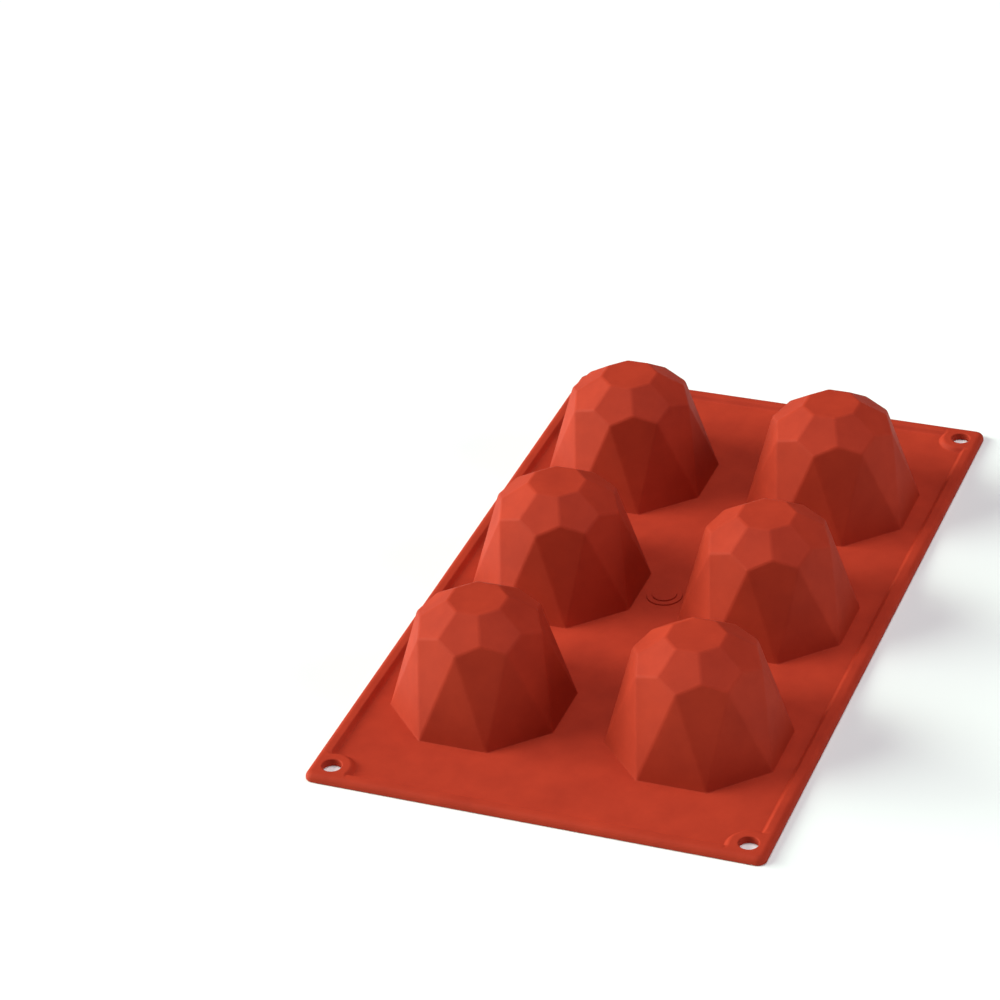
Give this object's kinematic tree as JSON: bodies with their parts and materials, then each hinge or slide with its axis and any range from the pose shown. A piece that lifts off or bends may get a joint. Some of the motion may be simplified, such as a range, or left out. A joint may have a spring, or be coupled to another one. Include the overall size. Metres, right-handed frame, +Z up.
{
  "type": "resin casting mould",
  "caption": "Flexible silicone casting mould: a thin rimmed sheet with rows of hollow faceted gem-shaped cups and a hanging hole in each corner.",
  "frame": {"origin": "centre of the sheet on its flat cavity face, which is the rest face", "axes": "+X along the sheet from the near row of cups to the far row, +Y across it to the left column, +Z up through the cups"},
  "size_m": [0.3, 0.175, 0.0462],
  "materials": {
    "silicone": "matte terracotta-red silicone"
  },
  "bodies": {
    "middle_row": {"middle_left_cup": "silicone", "middle_right_cup": "silicone", "middle_panel": "silicone", "middle_left_rim": "silicone", "middle_right_rim": "silicone", "near_flex_web": "silicone", "far_flex_web": "silicone", "gate_mark": "silicone"},
    "near_row": {"near_left_cup": "silicone", "near_right_cup": "silicone", "near_panel": "silicone", "near_end_rim": "silicone", "near_left_rim": "silicone", "near_right_rim": "silicone", "near_left_eyelet": "silicone", "near_right_eyelet": "silicone"},
    "far_row": {"far_left_cup": "silicone", "far_right_cup": "silicone", "far_panel": "silicone", "far_end_rim": "silicone", "far_left_rim": "silicone", "far_right_rim": "silicone", "far_left_eyelet": "silicone", "far_right_eyelet": "silicone"}
  },
  "joints": [
    {"name": "near_row_flex", "type": "hinge", "parent": "middle_row", "child": "near_row", "pos_m": [-0.04213, 0, 0.00075], "axis": [0, 1, 0], "range_deg": [0, 50], "stiffness_Nm_per_rad": 0.02, "deforming": ["near_flex_web"]},
    {"name": "far_row_flex", "type": "hinge", "parent": "middle_row", "child": "far_row", "pos_m": [0.04213, 0, 0.00075], "axis": [0, -1, 0], "range_deg": [0, 50], "stiffness_Nm_per_rad": 0.02, "deforming": ["far_flex_web"]}
  ]
}
